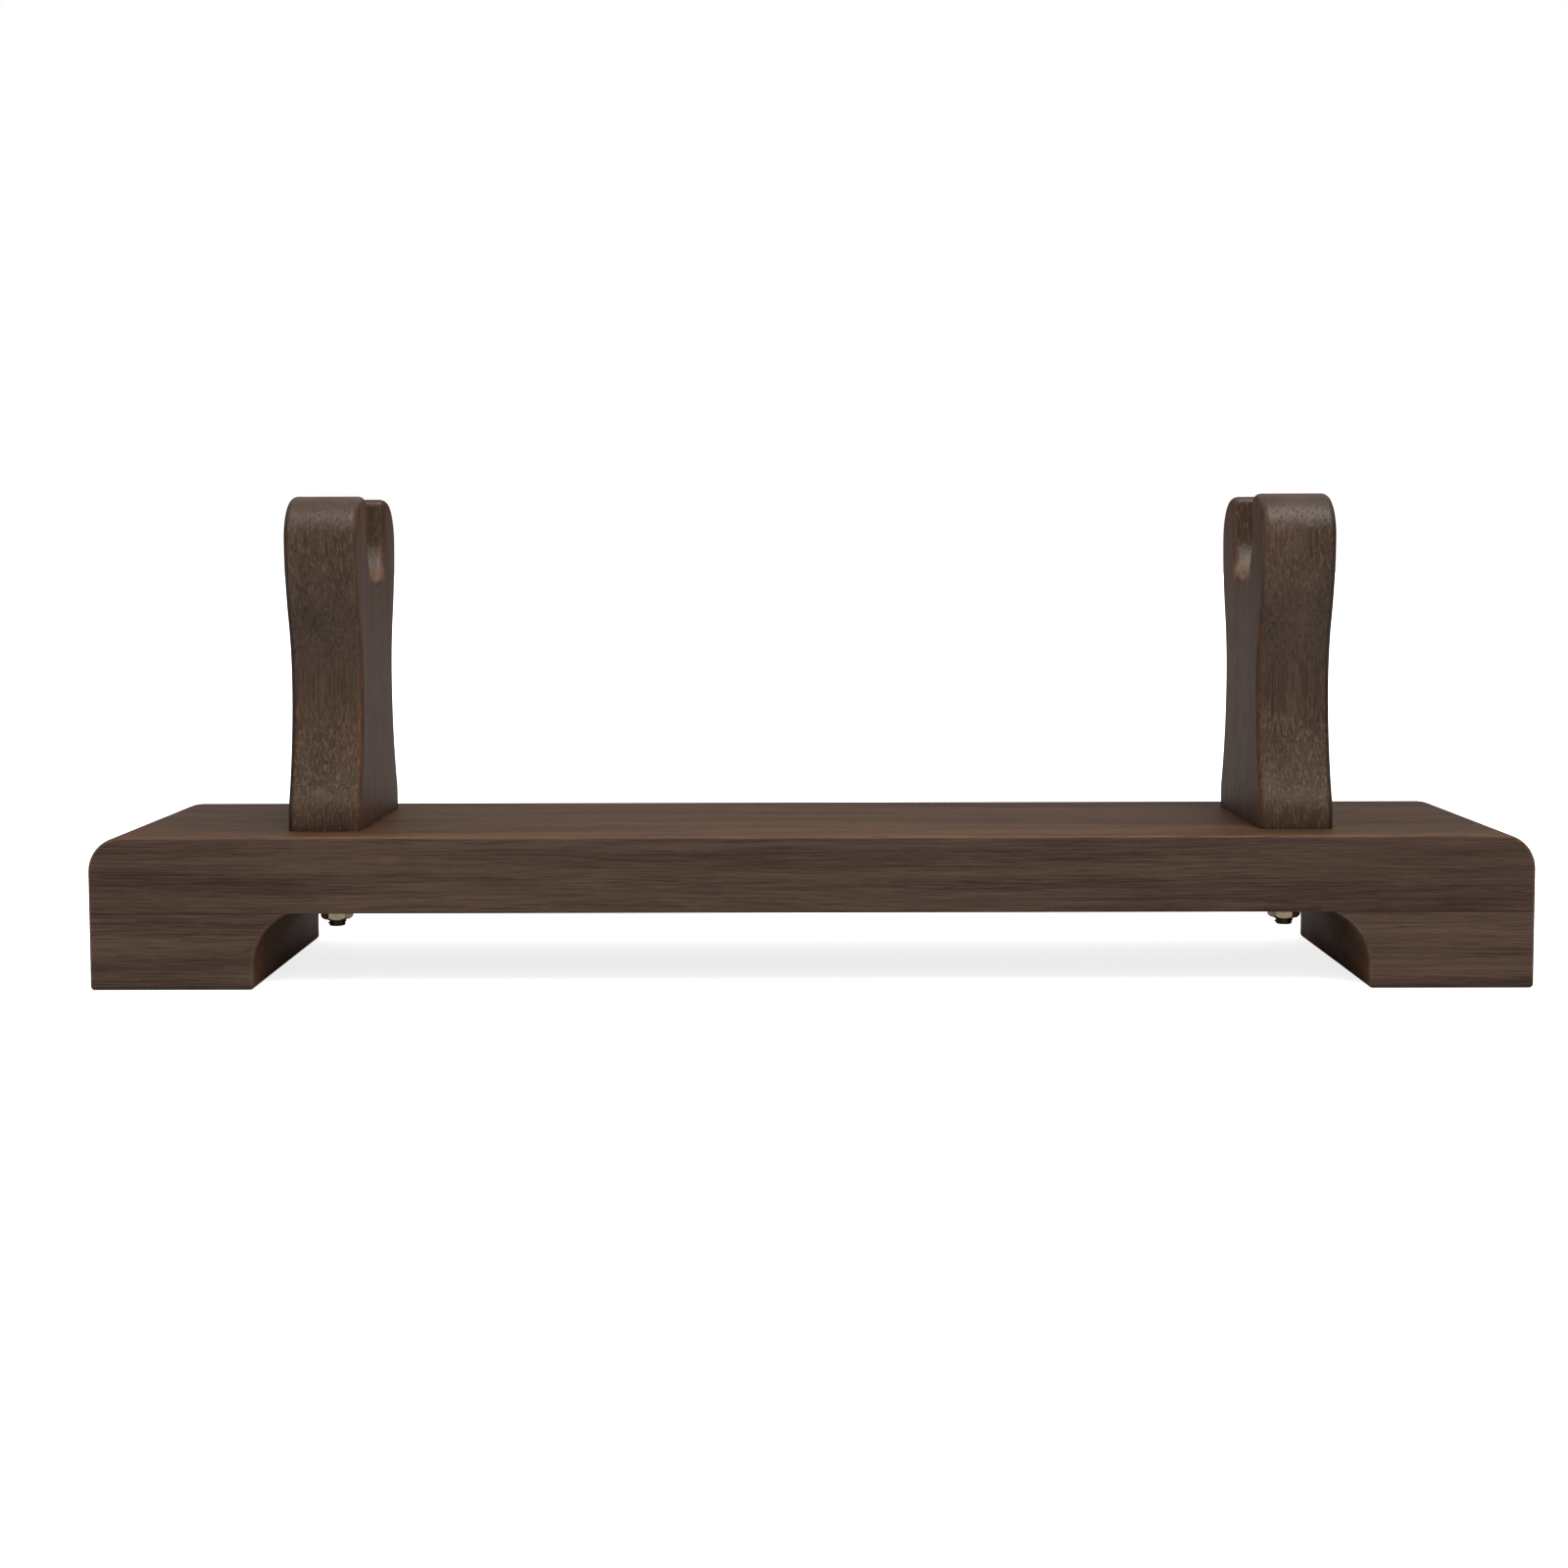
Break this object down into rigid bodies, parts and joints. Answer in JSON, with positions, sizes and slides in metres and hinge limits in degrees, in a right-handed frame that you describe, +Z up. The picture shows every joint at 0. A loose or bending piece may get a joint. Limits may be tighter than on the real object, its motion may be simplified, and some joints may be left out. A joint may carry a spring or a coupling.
{
  "type": "two-post cradle stand",
  "caption": "Low stained-wood stand: a plank on coved foot blocks carries waisted posts with open U notches that cradle a bar laid along it.",
  "frame": {"origin": "middle of the stand on the floor, under the centre of its bounding box", "axes": "+X along the plank, from the left post to the right post; the front faces -Y; +Z up"},
  "size_m": [0.7, 0.146, 0.24],
  "materials": {
    "base_wood": "dark brown stain under satin oil, straight grain along the plank",
    "post_wood": "dark brown stain under satin oil, upright flecked grain",
    "dowel_wood": "bare beech",
    "stud_zinc": "yellow zinc plate",
    "nut_zinc": "yellow zinc plate",
    "washer_zinc": "yellow zinc plate",
    "insert_zinc": "zinc plate"
  },
  "bodies": {
    "root": {"base_board": "base_wood", "left_foot": "base_wood", "left_foot_dowel_front": "dowel_wood", "left_foot_dowel_rear": "dowel_wood", "left_hex_nut": "nut_zinc", "left_insert_nut": "insert_zinc", "left_post": "post_wood", "left_post_dowel_front": "dowel_wood", "left_post_dowel_rear": "dowel_wood", "left_stud": "stud_zinc", "left_washer": "washer_zinc", "right_foot": "base_wood", "right_foot_dowel_front": "dowel_wood", "right_foot_dowel_rear": "dowel_wood", "right_hex_nut": "nut_zinc", "right_insert_nut": "insert_zinc", "right_post": "post_wood", "right_post_dowel_front": "dowel_wood", "right_post_dowel_rear": "dowel_wood", "right_stud": "stud_zinc", "right_washer": "washer_zinc"}
  },
  "joints": []
}
